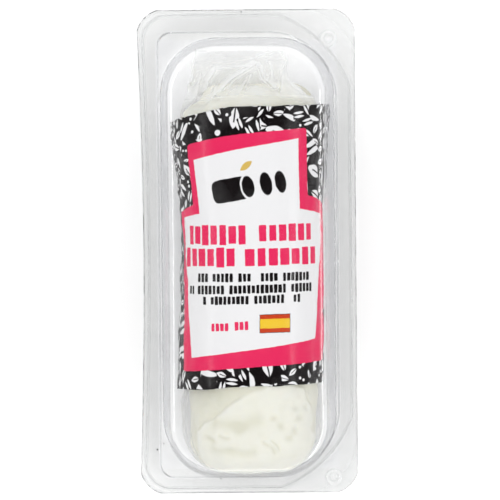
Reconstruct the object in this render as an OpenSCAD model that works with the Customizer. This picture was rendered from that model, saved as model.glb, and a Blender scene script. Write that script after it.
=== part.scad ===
// Fresh goat cheese log in its sealed pack.
// The log lies in a clear formed dome whose flange is sealed to a flat clear film. A printed band is
// wrapped round the log, the loose end of its wrapping film stands up behind it, and a plain label is
// stuck under the pack. Frame: X is the pack's width, Y its length (the film tail is at +Y), Z is up.
// Sizes are in millimetres, and the origin is under the middle of the flange, on the resting plane.

/* [Cheese log] */
// Length of the log
log_l = 98.6; // [70:0.2:140]
// Width of the log at its middle
log_w = 35.4; // [26:0.2:48]
// Height of the log as it lies
log_h = 34.6; // [26:0.2:46]
// How much narrower each side is towards the blunt end
log_taper = 1.8; // [0:0.1:4]
// Squareness of the log's section: 2 is an ellipse
log_square = 2.45; // [2:0.05:3]
// Rounding of the log's two ends
end_r = 9; // [4:0.5:12]
// Height of the lumps on the cheese
lump = 0.35; // [0:0.05:0.8]
// How far the log's ends lie to the right of the dome's middle
log_side = 0.55; // [0:0.05:1]
// How much further right the log's middle lies, because it is slightly bent
log_sway = 0.9; // [0:0.1:1.5]

/* [Printed band] */
// Length of the band along the log
band_l = 70; // [40:1:90]
// Distance from the log's blunt end to the band
band_from = 22.8; // [14:0.2:26]
// Thickness of the band
band_t = 0.25; // [0.15:0.05:0.6]
// Clearance between the band and the log, past the lumps
band_gap = 0.15; // [0.1:0.05:0.5]
// How far each side of the band stands out where it flares, at the tail end
band_flare = 2.0; // [0:0.1:3]
// How far the band's left corner slips back at the tail end
band_slip = 3.6; // [0:0.2:6]

/* [Film tail] */
// How far the gathered film stands past the log
tail_l = 8.6; // [4:0.2:16]
// Width of the tail's free edge
tail_w = 23.4; // [12:0.2:30]
// Thickness of the gathered tail
tail_t = 5; // [2:0.5:8]
// Height of the middle of the tail's free edge
tail_z = 21; // [12:0.5:26]
// How far the tail's free edge leans to the left
tail_lean = 1.8; // [0:0.1:4]
// Gap between the gathered film and the end of the cheese
tail_gap = 0.2; // [0.1:0.05:0.5]

/* [Dome] */
// Wall of the formed dome
wall_t = 0.35; // [0.25:0.05:0.8]
// Draft of the walls, in degrees
draft = 3; // [1:0.5:6]
// Corner radius of the dome in plan, at its foot
corner_r = 15; // [10:0.5:18]
// Rounding between the walls and the roof
roof_r = 3.6; // [2:0.2:6]
// Least room between the band's flare and the right wall, at mid height
side_room = 0.35; // [0.2:0.05:4]
// Least room between the log's blunt end and the wall, at mid height
end_room = 0.85; // [0.5:0.05:4]
// Least room between the film tail and the wall, at mid height
tail_room = 2.0; // [0.5:0.1:6]
// Least gap between what the dome holds and its rounded corners, past the lumps
corner_gap = 0.25; // [0.1:0.05:1]
// Room over the band
head_room = 0.3; // [0.2:0.1:3]

/* [Foot step] */
// Height of the low step round the dome's foot
step_h = 2.2; // [1:0.1:4]
// Width of the step along the sides
step_side = 0.7; // [0.4:0.1:2]
// Width of the step along the ends
step_end = 1.4; // [0.4:0.1:3]
// Corner radius of the step on the left
step_left_r = 3.6; // [2:0.2:10]
// Corner radius of the step on the right, where the pack is peeled open
step_right_r = 18; // [12:0.5:21]

/* [Flange] */
// Thickness of the flange
flange_t = 0.35; // [0.25:0.05:0.8]
// Width of the flange on the left
flange_left = 5.0; // [3:0.1:10]
// Width of the flange on the right
flange_right = 4.5; // [3:0.1:10]
// Width of the flange at the tail end
flange_head = 5.6; // [3:0.1:12]
// Width of the flange at the blunt end
flange_foot = 4.0; // [3:0.1:12]
// Radius of the punched corners
punch_r = 7.6; // [5:0.1:9]
// Distance of each punched corner's centre from the two edges
punch_c = 7.3; // [5:0.1:9]
// How far the left edge bows inward
side_bow = 1.2; // [0:0.1:2]

/* [Seal bead and peel nubs] */
// Width of the raised seal bead
bead_w = 0.7; // [0.4:0.1:1.5]
// Height of the bead over the flange
bead_h = 0.3; // [0.1:0.05:0.8]
// Distance from the flange's edge to the bead
bead_edge = 1.0; // [0.6:0.1:1.6]
// Corner radius of the bead on the left
bead_left_r = 7; // [4:0.5:9]
// Radius of the long arc that the bead takes across each peel corner
peel_r = 32; // [26:1:50]
// Distance of that arc's centre from the two edges
peel_c = 30; // [24:0.5:46]
// Radius of a peel nub at its foot
nub_r = 2.35; // [1.5:0.05:2.6]
// Radius of a peel nub at its top
nub_top_r = 1.2; // [0.6:0.05:1.8]
// Height of a peel nub over the flange
nub_h = 1.0; // [0.4:0.1:2]
// Distance from a nub's centre to the right edge
nub_side = 6.2; // [4.6:0.1:7]
// Distance from a nub's centre to the nearer end
nub_end = 5.7; // [4.6:0.1:7]

/* [Backing] */
// Thickness of the backing film
film_t = 0.15; // [0.1:0.05:0.4]
// Thickness of the label under the film
label_t = 0.1; // [0.05:0.05:0.3]
// Width of the label
label_w = 46.5; // [20:0.5:46.5]
// Length of the label
label_l = 111; // [40:1:111]
// How far the label sits towards the blunt end
label_shift = 0.7; // [0:0.1:1.5]

/* [Hidden] */

seat_gap = 0.05;           // between the band and the backing film
arc_steps = 12;            // pieces in a quarter arc of an outline
round_steps = 8;           // pieces in the rounding of the roof's edge
bow_steps = 16;            // pieces along the bowed edge
cut = 1;                   // how far a cutting solid runs past what it cuts
log_around = 44;           // points round the log's section
log_along = 26;            // rings along the log
band_along = 12;           // rings along the band
tail_around = 20;          // points round the tail's section
tail_along = 8;            // rings along the tail
tail_square = 3;           // squareness of the tail's section
tail_gather = 0.7;         // how fast the tail narrows: under 1 is fastest at its foot
foot_spread = 0.86;        // width of the tail's foot, as a share of the log's
foot_rise = 0.62;          // height of the tail's foot, as a share of the log's

// heights of the stack, from the resting plane up
film_top = label_t + film_t;
flange_top = film_top + flange_t;
band_low = film_top + seat_gap;
wrap = band_gap + band_t;
log_low = band_low + wrap + lump;
log_mid = log_low + log_h / 2;
roof_in = log_low + log_h + lump + wrap + head_room;
roof_top = roof_in + wall_t;

// the dome in plan, from what it holds
mid_in_w = log_w + 2 * (lump + wrap + max(band_flare, log_sway) + log_side + side_room);
foot_grow = wall_t + (log_mid - film_top) * tan(draft);
mid_in_r = corner_r - foot_grow;
blunt_room = max(end_room, wall_room(log_w / 2 - log_taper + lump + log_side, end_r));
tail_end_room = max(tail_room, wall_room(tail_w / 2 + tail_lean - log_side, 0));
mid_in_l = blunt_room + log_l + tail_l + tail_end_room;
dome_w = mid_in_w + 2 * foot_grow;
dome_l = mid_in_l + 2 * foot_grow;
step_w = dome_w + 2 * step_side;
step_l = dome_l + 2 * step_end;
flange_w = step_w + flange_left + flange_right;
flange_l = step_l + flange_head + flange_foot;
dome_x = (flange_left - flange_right) / 2;
dome_y = (flange_foot - flange_head) / 2;

// places along the pack
log_x = dome_x + log_side;
log_y0 = dome_y - mid_in_l / 2 + blunt_room;
band_y0 = log_y0 + band_from;
tail_y0 = log_y0 + log_l + tail_gap;

// Least distance from the end wall, at mid height, of a piece whose side lies x from the dome's middle
// and whose corner has radius r, so that it clears the dome's rounded corner.
function wall_room(x, r) =
    let(reach = mid_in_r - r,
        clear = corner_gap + lump,
        side = max(0, x - r - (mid_in_w / 2 - mid_in_r)))
    reach <= clear ? clear : reach - sqrt(max(0, pow(reach - clear, 2) - pow(side, 2)));

// ---- outlines ----

// Points of a corner arc in the quadrant of positive x and y, where the corner is at the origin and
// the outline lies at negative x and y. r is the arc's radius and c its centre's distance from both
// edges: with c = r the arc runs into the edges smoothly, and with c < r it meets them at a kink.
function corner_arc(r, c) =
    let(swing = acos(c / r))
    [for (i = [0:arc_steps])
        let(a = swing + (90 - 2 * swing) * i / arc_steps)
        [-c + r * cos(a), -c + r * sin(a)]];

function flip(p, sx, sy) = [p[0] * sx, p[1] * sy];
function reversed(v) = [for (i = [len(v) - 1:-1:0]) v[i]];
function shifted(v, x, y) = [for (p = v) [p[0] + x, p[1] + y]];
function placed(v, sx, sy, x, y) = shifted([for (p = v) flip(p, sx, sy)], x, y);

// Closed outline of a rectangle whose right corners take one arc and whose left corners another.
// Each corner is [radius, centre distance]. The left edge bows inward by bow.
function outline(w, l, right, left, bow = 0) = concat(
    placed(corner_arc(right[0], right[1]), 1, 1, w / 2, l / 2),
    placed(reversed(corner_arc(left[0], left[1])), -1, 1, -w / 2, l / 2),
    bow == 0 ? [] : [for (i = [1:bow_steps - 1])
        [-w / 2 + bow * sin(180 * i / bow_steps), (l / 2 - left[1]) * (1 - 2 * i / bow_steps)]],
    placed(corner_arc(left[0], left[1]), -1, -1, -w / 2, -l / 2),
    placed(reversed(corner_arc(right[0], right[1])), 1, -1, w / 2, -l / 2));

module flange_outline() {
    polygon(outline(flange_w, flange_l, [punch_r, punch_c], [punch_r, punch_c], side_bow));
}

// The bead's outline, drawn in from its outer edge by inset.
module bead_outline(inset) {
    edge = bead_edge + inset;
    polygon(outline(flange_w - 2 * edge, flange_l - 2 * edge,
        [peel_r - inset, peel_c - inset], [bead_left_r - inset, bead_left_r - inset], side_bow));
}

// The step's outline, drawn in by inset.
module step_outline(inset) {
    polygon(outline(step_w - 2 * inset, step_l - 2 * inset,
        [step_right_r - inset, step_right_r - inset], [step_left_r - inset, step_left_r - inset]));
}

// ---- the dome ----

// Half section of the dome's wall at a corner: x is measured from the corner's axis. The wall leans
// in by the draft and rounds over into the roof. inset draws it in, for the inside face.
function dome_section(inset, foot, top) =
    let(r = roof_r - inset,
        spring = top - r,
        reach = corner_r - inset,
        lean = (spring + r * sin(draft) - film_top) * tan(draft),
        cx = reach - lean - r * cos(draft))
    concat([[0, foot], [reach - (foot - film_top) * tan(draft), foot]],
        [for (i = [0:round_steps])
            let(a = draft + (90 - draft) * i / round_steps)
            [cx + r * cos(a), spring + r * sin(a)]],
        [[0, top]]);

// Solid dome, drawn in by inset, from height foot up to height top.
module dome_solid(inset, foot, top) {
    a = dome_w / 2 - corner_r;
    b = dome_l / 2 - corner_r;
    section = dome_section(inset, foot, top);
    translate([-a, -b, foot]) cube([2 * a, 2 * b, top - foot]);
    for (s = [-1, 1]) {
        translate([s * a, 0, 0]) rotate([90, 0, 0]) linear_extrude(2 * b, center = true)
            polygon([for (p = section) [s * p[0], p[1]]]);
        translate([0, s * b, 0]) rotate([90, 0, 90]) linear_extrude(2 * a, center = true)
            polygon([for (p = section) [s * p[0], p[1]]]);
    }
    for (i = [0:3]) {
        sx = i == 0 || i == 3 ? 1 : -1;
        sy = i < 2 ? 1 : -1;
        translate([sx * a, sy * b, 0]) rotate([0, 0, 90 * i])
            rotate_extrude(angle = 90, $fn = 96) polygon(section);
    }
}

module nub(grow, h) {
    cylinder(r1 = nub_r + grow, r2 = nub_top_r + grow, h = h, $fn = 48);
}

module at_nubs() {
    for (s = [-1, 1])
        translate([flange_w / 2 - nub_side, s * (flange_l / 2 - nub_end), 0]) children();
}

module dome_shell() {
    color([0.86, 0.87, 0.88, 0.35]) difference() {
        union() {
            translate([0, 0, film_top]) linear_extrude(flange_t) flange_outline();
            translate([0, 0, flange_top]) linear_extrude(bead_h) difference() {
                bead_outline(0);
                bead_outline(bead_w);
            }
            translate([0, 0, flange_top]) at_nubs() nub(0, nub_h);
            translate([dome_x, dome_y, film_top]) linear_extrude(step_h + flange_t) step_outline(0);
            translate([dome_x, dome_y, 0]) dome_solid(0, film_top, roof_top);
        }
        translate([dome_x, dome_y, film_top - cut]) linear_extrude(step_h + flange_t - wall_t + cut)
            step_outline(wall_t);
        translate([dome_x, dome_y, 0]) dome_solid(wall_t, film_top - cut, roof_in);
        translate([0, 0, film_top]) at_nubs() nub(-wall_t, nub_h);
    }
}

// ---- the backing ----

module backing_film() {
    color([0.86, 0.87, 0.88, 0.35])
        translate([0, 0, label_t]) linear_extrude(film_t) flange_outline();
}

module back_label() {
    color([0.92, 0.93, 0.95])
        translate([-label_w / 2, -label_l / 2 - label_shift, 0]) cube([label_w, label_l, label_t]);
}

// ---- lofted solids: the log, its band and the film tail ----

// Faces of a skin over rings of n points each. closed joins the last ring to the first, and
// otherwise the two end rings are capped.
function skin(rings, n, closed) = concat(
    [for (k = [0:rings - (closed ? 1 : 2)]) for (i = [0:n - 1])
        let(m = (k + 1) % rings, j = (i + 1) % n)
        each [[k * n + i, m * n + i, m * n + j], [k * n + i, m * n + j, k * n + j]]],
    closed ? [] : [[for (i = [0:n - 1]) i], [for (i = [n - 1:-1:0]) (rings - 1) * n + i]]);

module loft(rings, closed = false) {
    polyhedron([for (ring = rings) each ring], skin(len(rings), len(rings[0]), closed));
}

// Smooth step from 0 to 1 as t goes from a to b.
function ease(t, a, b) = let(s = min(1, max(0, (t - a) / (b - a)))) s * s * (3 - 2 * s);

// Unit superellipse: the coordinate that goes with cos or sin c, for squareness p.
function squared(c, p) = sign(c) * pow(abs(c), 2 / p);

// The log's half width at share s of its length, without its rounded ends: slimmer at the blunt end.
function log_half(s) = log_w / 2 - log_taper * (1 - ease(s, 0.08, 0.45));

// What the section shrinks to at distance d from the nearer end, by a round of radius end_r.
function end_round(d) =
    1 - (end_r - sqrt(pow(end_r, 2) - pow(max(0, end_r - d), 2))) / (log_w / 2);

// Lumps of the soft cheese, between -1 and 1.
function lumps(a, s) = (sin(2 * a + 500 * s) + sin(3 * a - 760 * s + 40) + sin(a + 1130 * s)) / 3;

// Middle of the log at share s: it lies in a slight curve.
function log_cx(s) = log_x + log_sway * sin(180 * s);

// One ring of the log, at share s of its length.
function log_ring(s) =
    let(e = end_round(log_l * min(s, 1 - s)))
    [for (i = [0:log_around - 1])
        let(a = 360 * i / log_around, k = 1 + lump * lumps(a, s) / (log_h / 2))
        [log_cx(s) + log_half(s) * e * k * squared(cos(a), log_square),
         log_y0 + log_l * s,
         log_mid + log_h / 2 * e * k * squared(sin(a), log_square)]];

module cheese_log() {
    // the rings crowd towards the two ends, where the section changes fastest
    color([0.93, 0.92, 0.87]) loft([for (k = [0:log_along - 1])
        reversed(log_ring((1 - cos(180 * k / (log_along - 1))) / 2))]);
}

// One ring of the band's inner or outer face, at share u of its length. It stands clear of the
// lumps, flares to both sides of the log's line at the tail end, and its left corner slips back there.
function band_ring(u, grow) =
    let(s = (band_from + band_l * u) / log_l,
        room = lump + band_gap + grow,
        flare = ease(u, 0.45, 1),
        mid = (1 - flare) * log_cx(s) + flare * log_x,
        half = log_w / 2 + room + band_flare * flare)
    [for (i = [0:log_around - 1])
        let(a = 360 * i / log_around,
            c = squared(cos(a), log_square),
            slip = band_slip * max(0, -c) * max(0, -c) * ease(u, 0.7, 1))
        [mid + half * c,
         band_y0 + band_l * u - slip,
         log_mid + (log_h / 2 + room) * squared(sin(a), log_square)]];

module printed_band() {
    outer = [for (k = [0:band_along - 1]) reversed(band_ring(k / (band_along - 1), band_t))];
    inner = [for (k = [band_along - 1:-1:0]) reversed(band_ring(k / (band_along - 1), 0))];
    color([0.93, 0.15, 0.38]) loft(concat(outer, inner), closed = true);
}

// One ring of the film tail, at share u of its length: from the foot, spread over the end of the
// cheese, it narrows to the gathered free edge.
function tail_ring(u) =
    let(e = pow(u, tail_gather),
        w = (1 - e) * log_w * foot_spread + e * tail_w,
        h = (1 - e) * log_h * foot_rise + e * tail_t,
        z = (1 - e) * log_mid + e * tail_z)
    [for (i = [0:tail_around - 1])
        let(a = 360 * i / tail_around)
        [log_x - tail_lean * u + w / 2 * squared(cos(a), tail_square),
         tail_y0 + (tail_l - tail_gap) * u,
         z + h / 2 * squared(sin(a), tail_square)]];

module film_tail() {
    color([0.90, 0.91, 0.92, 0.5])
        loft([for (k = [0:tail_along - 1]) reversed(tail_ring(k / (tail_along - 1)))]);
}

dome_shell();
backing_film();
back_label();
cheese_log();
printed_band();
film_tail();
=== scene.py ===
"""Looks of a fresh goat cheese log in its sealed clear pack.

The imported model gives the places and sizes. Each class below builds one sub-assembly of the real
object in its own millimetres and dresses it: the clear pack, the cheese, the wrapping film and the
printed band. Every new surface is a grid of points worked out as whole arrays.
"""
import logging
import math
from collections.abc import Callable
from dataclasses import astuple, dataclass, field
from enum import Enum
from functools import reduce
from typing import TypeAlias

import bmesh
import bpy
import numpy as np
from mathutils import Matrix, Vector
from numpy.typing import NDArray


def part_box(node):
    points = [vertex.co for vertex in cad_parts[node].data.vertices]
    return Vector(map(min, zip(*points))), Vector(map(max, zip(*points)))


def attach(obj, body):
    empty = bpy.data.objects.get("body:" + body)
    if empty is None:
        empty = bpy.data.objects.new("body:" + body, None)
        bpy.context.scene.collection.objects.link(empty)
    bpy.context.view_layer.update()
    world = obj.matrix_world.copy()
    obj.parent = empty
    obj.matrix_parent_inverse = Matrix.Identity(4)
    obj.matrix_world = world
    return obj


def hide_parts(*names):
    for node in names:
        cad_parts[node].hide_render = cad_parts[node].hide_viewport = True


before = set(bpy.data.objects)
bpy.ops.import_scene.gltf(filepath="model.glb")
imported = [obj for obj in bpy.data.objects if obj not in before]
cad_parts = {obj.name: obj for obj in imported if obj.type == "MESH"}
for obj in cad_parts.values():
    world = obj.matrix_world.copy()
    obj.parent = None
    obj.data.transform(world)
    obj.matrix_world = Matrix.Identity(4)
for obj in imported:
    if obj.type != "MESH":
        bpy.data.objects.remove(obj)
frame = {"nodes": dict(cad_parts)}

LOG = logging.getLogger("goat_cheese_log")
MM = 0.001
PRINT_UNIT = 100.0  # millimetres of sleeve in one unit of its print map
BODY = "root"
Array = NDArray[np.float64]
Point = tuple[float, float]
Place = tuple[float, float, float]
Corners = tuple[Point, ...]
Colour = tuple[float, float, float, float]
Value: TypeAlias = "Wire | float"
CLEAR: Colour = (1.0, 1.0, 1.0, 1)


# ---------------------------------------------------------------- shapes of arrays


def ease(t: Array | float, a: float, b: float) -> Array:
    """Smooth step from 0 to 1 as t goes from a to b: 3s^2 - 2s^3 of its share s of the way."""
    s = np.clip((np.asarray(t, float) - a) / (b - a), 0, 1)
    return s * s * (3 - 2 * s)


def squared(c: Array, p: float) -> Array:
    """Superellipse coordinate that goes with the cosine or sine c, for squareness p."""
    return np.sign(c) * np.abs(c) ** (2 / p)


def bell(x: Array, width: float) -> Array:
    """Bell curve, 1 at x = 0 and nearly 0 past two widths."""
    return np.exp(-((x / width) ** 2))


def waves(points: Array, length: float, seed: int, count: int = 14) -> Array:
    """Smooth uneven field, about -1 to 1, over points.

    It is a sum of count plane waves, whose directions and phases are drawn with the seed and whose
    wavelengths lie within a third of length.

    Args:
        points: Places, with their coordinates last.
        length: Typical wavelength, in the points' unit.
        seed: Seed of the draw.
        count: Number of waves.

    Returns:
        The field, with the shape of points less its last axis.
    """
    rng = np.random.default_rng(seed)
    way = rng.normal(size=(count, points.shape[-1]))
    way /= np.linalg.norm(way, axis=1, keepdims=True)
    turn = 2 * np.pi / (length * rng.uniform(0.67, 1.33, count))
    phase = rng.uniform(0, 2 * np.pi, count)
    return np.sin(points @ (way * turn[:, None]).T + phase).sum(-1) * math.sqrt(2 / count) * 0.6


def crumple(points: Array, length: float, seed: int) -> Array:
    """Field of sharp creases between flat facets, about 0 to 1: 1 less the size of smooth waves."""
    return 1 - np.abs(waves(points, length, seed, 7))


def to_segment(points: Array, start: Point, end: Point) -> Array:
    """Distance in the plane from each point to the straight line between start and end."""
    a, b = np.array(start), np.array(end)
    run = b - a
    share = np.clip(((points - a) @ run) / (run @ run), 0, 1)
    return np.linalg.norm(points - a - share[..., None] * run, axis=-1)


def box_of(node: str) -> Array:
    """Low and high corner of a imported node, in millimetres."""
    return np.array(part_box(node)) / MM


def circle(count: int) -> Array:
    """A row of evenly spaced angles once round."""
    return np.linspace(0, 2 * np.pi, count, endpoint=False)[None]


def places(x: Array, y: Array, z: Array) -> Array:
    """Points from their coordinates, each of which may be a row, a column or a grid."""
    return np.stack(np.broadcast_arrays(x, y, z), -1)


def closed(rings: Array, count: int) -> Array:
    """Rings with both ends closed by a shallow dish of count more rings."""
    share = np.linspace(0, 1, count, endpoint=False)[:, None, None]
    first, last = (ring.mean(0) + (ring - ring.mean(0)) * share for ring in (rings[0], rings[-1]))
    return np.concatenate([first, rings, last[::-1]])


def padded(values: Array, count: int) -> Array:
    """Values over rings, repeated over the dishes that close them."""
    return np.concatenate([values[:1]] * count + [values] + [values[-1:]] * count)


def grid_normals(points: Array) -> Array:
    """Unit normals of a grid that closes along its columns: the cross product of its two slopes."""
    along = np.gradient(points, axis=0)
    around = np.roll(points, -1, 1) - np.roll(points, 1, 1)
    normal = np.cross(around, along)
    return normal / np.maximum(np.linalg.norm(normal, axis=-1, keepdims=True), 1e-12)


# ---------------------------------------------------------------- meshes


class Wrap(Enum):
    """Which ways a grid closes on itself."""

    COLUMNS = "columns"
    BOTH = "both"


def make_piece(
    name: str,
    points: Array,
    wrap: Wrap,
    material: bpy.types.Material,
    uv: Array | None = None,
    marks: dict[str, Array] | None = None,
    weld: float = 2e-6,
) -> bpy.types.Object:
    """Puts a grid of points into a mesh object that rides on the part.

    Args:
        name: The piece's name.
        points: Grid of places in millimetres, rows by columns by 3.
        wrap: Which ways the grid closes.
        material: Its finish.
        uv: Print coordinates, one row and one column more than the faces need.
        marks: Named values over the grid, kept as point attributes.
        weld: Points closer than this, in metres, become one.

    Returns:
        The finished object.
    """
    rows, cols = points.shape[:2]
    r = np.arange(rows if wrap is Wrap.BOTH else rows - 1)
    r, c = (g.ravel() for g in np.meshgrid(r, np.arange(cols), indexing="ij"))
    corners = np.stack([r, r, r + 1, r + 1], 1), np.stack([c, c + 1, c + 1, c], 1)
    faces = (corners[0] % rows) * cols + corners[1] % cols
    mesh = bpy.data.meshes.new(name)
    mesh.vertices.add(rows * cols)
    mesh.vertices.foreach_set("co", (points * MM).astype(np.float32).ravel())
    mesh.loops.add(faces.size)
    mesh.loops.foreach_set("vertex_index", faces.astype(np.int32).ravel())
    mesh.polygons.add(len(faces))
    mesh.polygons.foreach_set("loop_start", np.arange(0, faces.size, 4, dtype=np.int32))
    if uv is not None:
        layer = mesh.uv_layers.new(name="print")
        layer.uv.foreach_set("vector", uv[corners].astype(np.float32).ravel())
    for key, values in (marks or {}).items():
        mark = mesh.attributes.new(key, "FLOAT", "POINT")
        mark.data.foreach_set("value", values.astype(np.float32).ravel())
    mesh.update()
    shape = bmesh.new()
    shape.from_mesh(mesh)
    bmesh.ops.remove_doubles(shape, verts=shape.verts, dist=weld)
    bmesh.ops.dissolve_degenerate(shape, edges=shape.edges, dist=weld / 2)
    bmesh.ops.recalc_face_normals(shape, faces=shape.faces)
    for face in shape.faces:
        face.smooth = True
    shape.to_mesh(mesh)
    shape.free()
    mesh.materials.append(material)
    piece = bpy.data.objects.new(name, mesh)
    bpy.context.scene.collection.objects.link(piece)
    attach(piece, BODY)
    LOG.info("%s: %d faces", name, len(mesh.polygons))
    return piece


# ---------------------------------------------------------------- node trees


@dataclass(frozen=True, eq=False)
class Wire:
    """An output of a node. Arithmetic on it adds the nodes that work the result out."""

    tree: "Tree"
    socket: bpy.types.NodeSocket

    def __add__(self, other: Value) -> "Wire":
        return self.tree.math("ADD", self, other)

    def __sub__(self, other: Value) -> "Wire":
        return self.tree.math("SUBTRACT", self, other)

    def __rsub__(self, other: float) -> "Wire":
        return self.tree.math("SUBTRACT", other, self)

    def __mul__(self, other: Value) -> "Wire":
        return self.tree.math("MULTIPLY", self, other)

    def __truediv__(self, other: Value) -> "Wire":
        return self.tree.math("DIVIDE", self, other)

    def __rtruediv__(self, other: float) -> "Wire":
        return self.tree.math("DIVIDE", other, self)

    def __abs__(self) -> "Wire":
        return self.tree.math("ABSOLUTE", self)

    def clamped(self) -> "Wire":
        """The same value, which its Math node now holds between 0 and 1."""
        self.socket.node.use_clamp = True
        return self

    def at_most(self, other: Value, round_by: float = 0.0) -> "Wire":
        """The lesser of two values, with the change from one to the other rounded."""
        if round_by:
            return self.tree.math("SMOOTH_MIN", self, other, round_by)
        return self.tree.math("MINIMUM", self, other)

    def at_least(self, other: Value, round_by: float = 0.0) -> "Wire":
        """The greater of two values, with the change from one to the other rounded."""
        if round_by:
            return self.tree.math("SMOOTH_MAX", self, other, round_by)
        return self.tree.math("MAXIMUM", self, other)

    def span(self, low: float, high: float, to_low: float = 0.0, to_high: float = 1.0) -> "Wire":
        """Value carried from one range to another, held at the ends."""
        return self.tree.wire("MapRange", {0: self, 1: low, 2: high, 3: to_low, 4: to_high})

    def seen_from(self, origin: "Wire | Place") -> "Wire":
        """A place measured from another place."""
        return self.tree.vector("SUBTRACT", self, origin)

    def scaled(self, by: Place) -> "Wire":
        """A vector scaled along each axis."""
        return self.tree.vector("MULTIPLY", self, by)

    def dot(self, other: "Wire | Place") -> "Wire":
        """Dot product with another vector."""
        return self.tree.vector("DOT_PRODUCT", self, other, output="Value")

    def length(self) -> "Wire":
        """Length of a vector."""
        return self.tree.vector("LENGTH", self, output="Value")

    def parts(self) -> list["Wire"]:
        """The three parts of a vector."""
        return [Wire(self.tree, part) for part in self.tree.node("SeparateXYZ", {0: self}).outputs]


@dataclass
class Tree:
    """A node tree with short ways to add and link nodes."""

    tree: bpy.types.NodeTree

    def node(
        self, kind: str, inputs: dict[str | int, object] | None = None, **settings: object
    ) -> bpy.types.Node:
        """Adds a node, sets its properties, and links or sets each input by its name or number."""
        new = self.tree.nodes.new("ShaderNode" + kind)
        for key, value in settings.items():
            setattr(new, key, value)
        for key, value in (inputs or {}).items():
            if isinstance(value, Wire):
                self.tree.links.new(value.socket, new.inputs[key])
            else:
                new.inputs[key].default_value = value
        return new

    def wire(
        self,
        kind: str,
        inputs: dict[str | int, object] | None = None,
        output: str | int = 0,
        **settings: object,
    ) -> Wire:
        """Adds a node and gives one of its outputs."""
        return Wire(self, self.node(kind, inputs, **settings).outputs[output])

    def math(self, what: str, *values: Value) -> Wire:
        """Result of a Math node on up to three values."""
        return self.wire("Math", dict(enumerate(values)), operation=what)

    def vector(self, what: str, *values: Wire | Place, output: str | int = 0) -> Wire:
        """Result of a Vector Math node."""
        return self.wire("VectorMath", dict(enumerate(values)), output, operation=what)

    def join(self, x: Value, y: Value) -> Wire:
        """A flat vector from its parts."""
        return self.wire("CombineXYZ", {0: x, 1: y})

    def draw(self, cell: Wire) -> list[Wire]:
        """Three random numbers from 0 to 1 that go with a cell."""
        return self.wire("TexWhiteNoise", {"Vector": cell}, "Color", noise_dimensions="3D").parts()

    def noise(self, place: Wire, scale: float, detail: float = 2.0, rough: float = 0.5) -> Wire:
        """Value of a noise texture."""
        return self.wire("TexNoise", {"Vector": place, "Scale": scale, "Detail": detail, "Roughness": rough})

    def pick(self, share: Value, a: Value, b: Value) -> Wire:
        """Mix of two values."""
        return self.wire("Mix", {0: share, 2: a, 3: b})

    def blend(self, share: Value, a: Wire | Colour, b: Wire | Colour) -> Wire:
        """Mix of two colours."""
        return self.wire("Mix", {0: share, 6: a, 7: b}, 2, data_type="RGBA")

    def place(self) -> Wire:
        """Place on the object, in metres."""
        return self.wire("TexCoord", output="Object")

    def mark(self, name: str) -> Wire:
        """Value of a point attribute of the mesh."""
        return self.wire("Attribute", output="Fac", attribute_name=name)

    def ray(self, kind: str) -> Wire:
        """1 for a ray of the kind that a Light Path output names, and 0 for another."""
        return self.wire("LightPath", output=kind)

    def bump(self, height: Wire, strength: float, distance: float) -> Wire:
        """Normal of a Bump node."""
        return self.wire("Bump", {"Height": height, "Strength": strength, "Distance": distance})

    def coat(self, inputs: dict[str, object]) -> Wire:
        """The Principled shader."""
        return self.wire("BsdfPrincipled", inputs)

    def open_surface(self, colour: Wire | Colour = CLEAR) -> Wire:
        """Shader that lets everything straight through, tinted."""
        return self.wire("BsdfTransparent", {"Color": colour})

    def mixed(self, share: Value, a: Wire, b: Wire) -> Wire:
        """Mix of two shaders."""
        return self.wire("MixShader", {0: share, 1: a, 2: b})


def new_group(
    name: str,
    vectors: tuple[str, ...],
    numbers: tuple[str, ...],
    draw: Callable[[Tree, dict[str, Wire]], Wire],
) -> bpy.types.NodeTree:
    """A node group with one output, Mask.

    Args:
        name: The group's name.
        vectors: Names of its vector inputs.
        numbers: Names of its number inputs.
        draw: Works out the mask in the group's tree, from its inputs by name.

    Returns:
        The group.
    """
    group = bpy.data.node_groups.new(name, "ShaderNodeTree")
    for kind, keys in (("Vector", vectors), ("Float", numbers)):
        for key in keys:
            group.interface.new_socket(key, in_out="INPUT", socket_type="NodeSocket" + kind)
    group.interface.new_socket("Mask", in_out="OUTPUT", socket_type="NodeSocketFloat")
    tree, start = Tree(group), group.nodes.new("NodeGroupInput")
    mask = draw(tree, {key: Wire(tree, start.outputs[key]) for key in vectors + numbers})
    group.links.new(mask.socket, group.nodes.new("NodeGroupOutput").inputs[0])
    return group


# ---------------------------------------------------------------- finishes


class Finish:
    """What the finishes share: each works out one shader."""

    def shader(self, tree: Tree) -> Wire:
        """The finish's shader."""
        raise NotImplementedError

    def material(self, name: str) -> bpy.types.Material:
        """A material with nothing but the finish's shader."""
        material = bpy.data.materials.new(name)
        material.use_nodes = True
        material.node_tree.nodes.clear()
        tree = Tree(material.node_tree)
        tree.node("OutputMaterial", {0: self.shader(tree)})
        return material


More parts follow.
